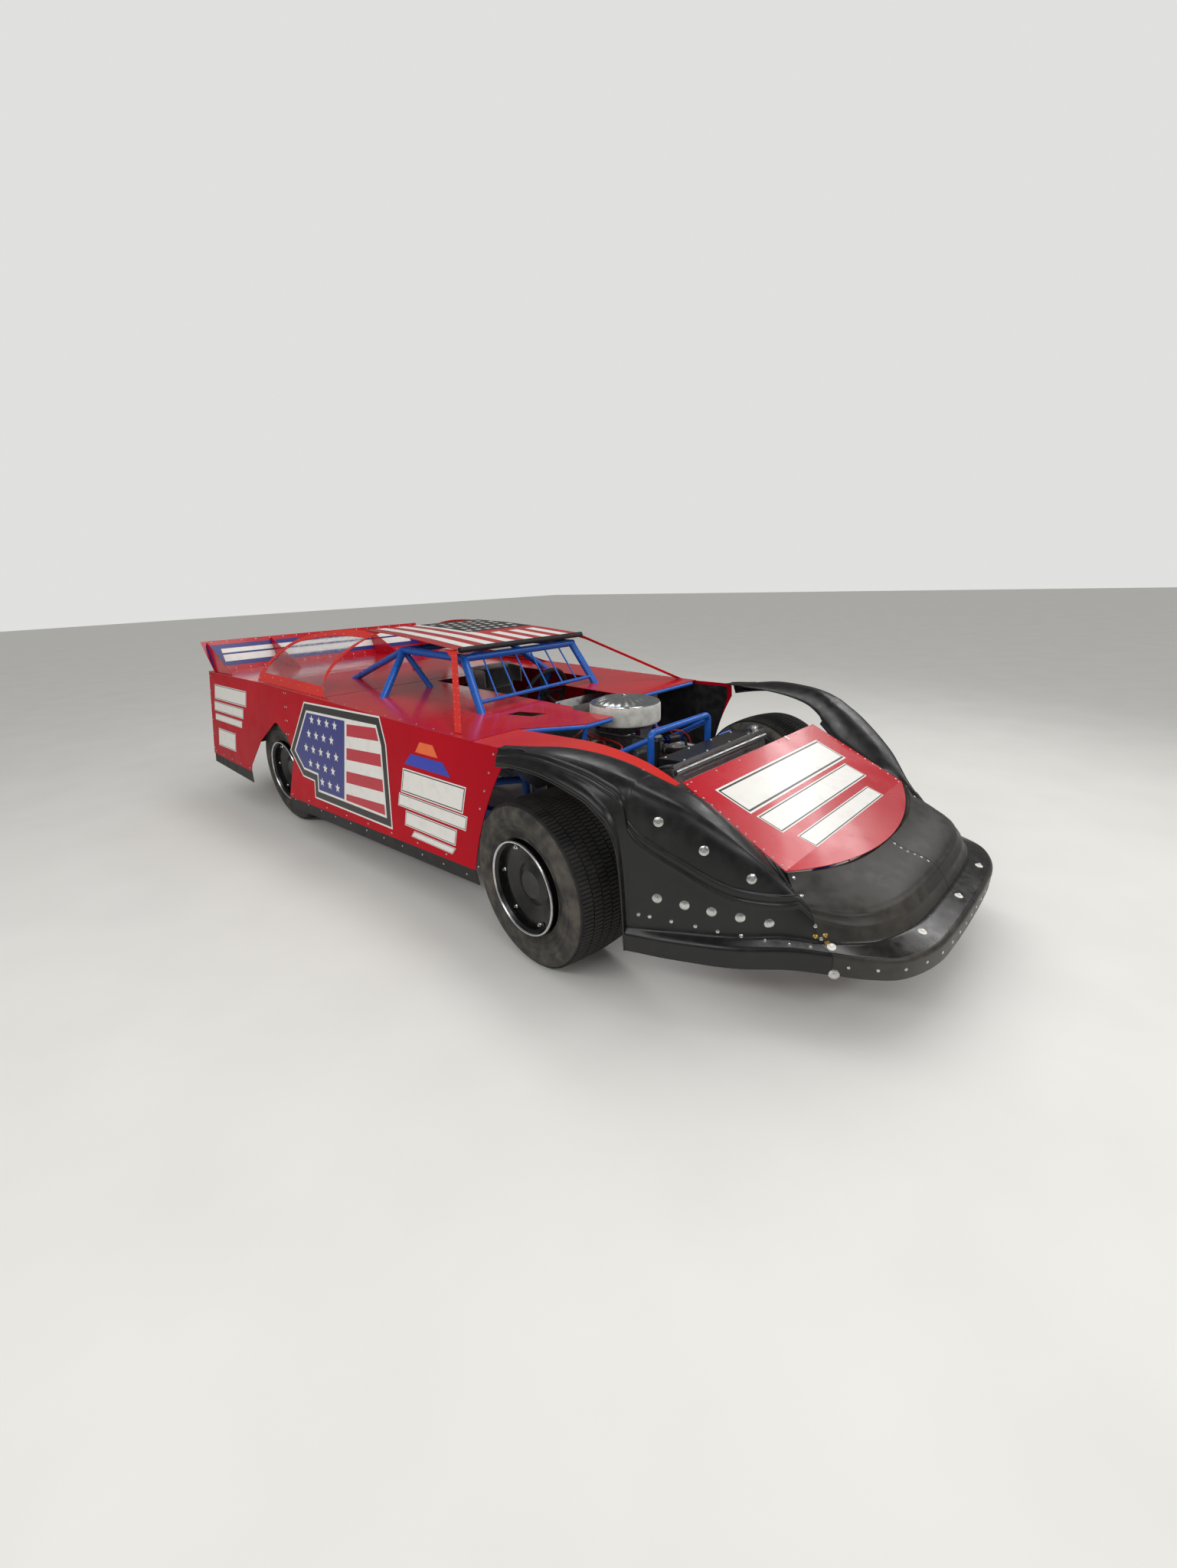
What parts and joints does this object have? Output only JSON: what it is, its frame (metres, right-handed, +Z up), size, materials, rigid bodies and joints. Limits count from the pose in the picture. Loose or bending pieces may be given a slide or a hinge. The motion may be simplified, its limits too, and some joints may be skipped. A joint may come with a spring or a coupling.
{
  "type": "dirt-track stock car",
  "caption": "Open-wheel-arch dirt-track stock car in red and blue, hood off, with wedge body, plastic nose, roll cage, engine, turning wheels and steering.",
  "frame": {"origin": "on the floor, under the middle of the car's length and width", "axes": "-Y towards the nose, +X towards the car's left side, +Z up"},
  "size_m": [2.1982, 5.22, 1.2861],
  "materials": {
    "grey_wrap": "matt",
    "blue_tube": "gloss",
    "bare_aluminium": "brushed",
    "black_steel": "satin",
    "red_body": "gloss",
    "cast_iron": "rough",
    "tyre": "matt",
    "black_wheel": "satin",
    "black_plastic": "satin",
    "black_grip": "matt",
    "clear_plastic": "clear"
  },
  "bodies": {
    "car": {"air_cleaner": "grey_wrap", "chassis_frame": "blue_tube", "cockpit_sheets": "bare_aluminium", "coil_overs": "black_steel", "cylinder_heads": "bare_aluminium", "deck_panel": "red_body", "door_panels": "red_body", "driveshaft": "bare_aluminium", "engine_block": "cast_iron", "exhaust_headers": "cast_iron", "fuel_cell": "black_steel", "gearbox": "bare_aluminium", "hood_nosepiece": "red_body", "intake_manifold": "bare_aluminium", "left_front_fender": "black_plastic", "nose_covers": "black_plastic", "quarter_panels": "red_body", "radiator": "bare_aluminium", "radiator_hoses": "black_grip", "rear_axle": "cast_iron", "rear_bumper_cover": "black_plastic", "rear_spoiler": "red_body", "right_front_fender": "black_plastic", "right_hood_rail": "red_body", "roll_cage": "blue_tube", "roof_front_lip": "black_plastic", "roof_panel": "red_body", "sail_panels": "red_body", "sail_windows": "clear_plastic", "seat": "bare_aluminium", "side_skirts": "black_plastic", "steering_gear": "black_steel", "suspension_arms": "black_steel", "tail_panel": "red_body", "window_posts": "red_body"},
    "left_steering_knuckle": {"front_left_knuckle": "cast_iron"},
    "front_left_wheel_set": {"front_left_tyre": "tyre", "front_left_wheel": "black_wheel"},
    "right_steering_knuckle": {"front_right_knuckle": "cast_iron"},
    "front_right_wheel_set": {"front_right_tyre": "tyre", "front_right_wheel": "black_wheel"},
    "rear_left_wheel_set": {"rear_left_tyre": "tyre", "rear_left_wheel": "black_wheel"},
    "rear_right_wheel_set": {"rear_right_tyre": "tyre", "rear_right_wheel": "black_wheel"},
    "steering_wheel_set": {"steering_wheel": "black_grip"}
  },
  "joints": [
    {"name": "right_steer", "type": "hinge", "parent": "car", "child": "right_steering_knuckle", "pos_m": [-0.7, -1.245, 0.244], "axis": [0.1009, 0, 0.9949], "range_deg": [-16, 28]},
    {"name": "left_steer", "type": "hinge", "parent": "car", "child": "left_steering_knuckle", "pos_m": [0.7, -1.245, 0.244], "axis": [-0.1009, 0, 0.9949], "range_deg": [-16, 28]},
    {"name": "front_right_spin", "type": "hinge", "parent": "right_steering_knuckle", "child": "front_right_wheel_set", "pos_m": [-0.90084, -1.22273, 0.36388], "axis": [0.9946, -0.104, 0.0006], "continuous": true},
    {"name": "front_left_spin", "type": "hinge", "parent": "left_steering_knuckle", "child": "front_left_wheel_set", "pos_m": [0.90084, -1.26727, 0.36388], "axis": [0.9946, -0.104, -0.0006], "continuous": true},
    {"name": "rear_right_spin", "type": "hinge", "parent": "car", "child": "rear_right_wheel_set", "pos_m": [0, 1.385, 0.364], "axis": [1, 0, 0], "continuous": true},
    {"name": "rear_left_spin", "type": "hinge", "parent": "car", "child": "rear_left_wheel_set", "pos_m": [0, 1.385, 0.364], "axis": [1, 0, 0], "continuous": true},
    {"name": "steering_wheel_turn", "type": "hinge", "parent": "car", "child": "steering_wheel_set", "pos_m": [0.215, -0.04, 0.85], "axis": [0, 0.9135, 0.4067], "range_deg": [-130, 226]}
  ],
  "couplings": [
    {"joint": "left_steer", "follows": "right_steer", "ratio": 1},
    {"joint": "rear_left_spin", "follows": "rear_right_spin", "ratio": 1},
    {"joint": "steering_wheel_turn", "follows": "right_steer", "ratio": 8}
  ]
}
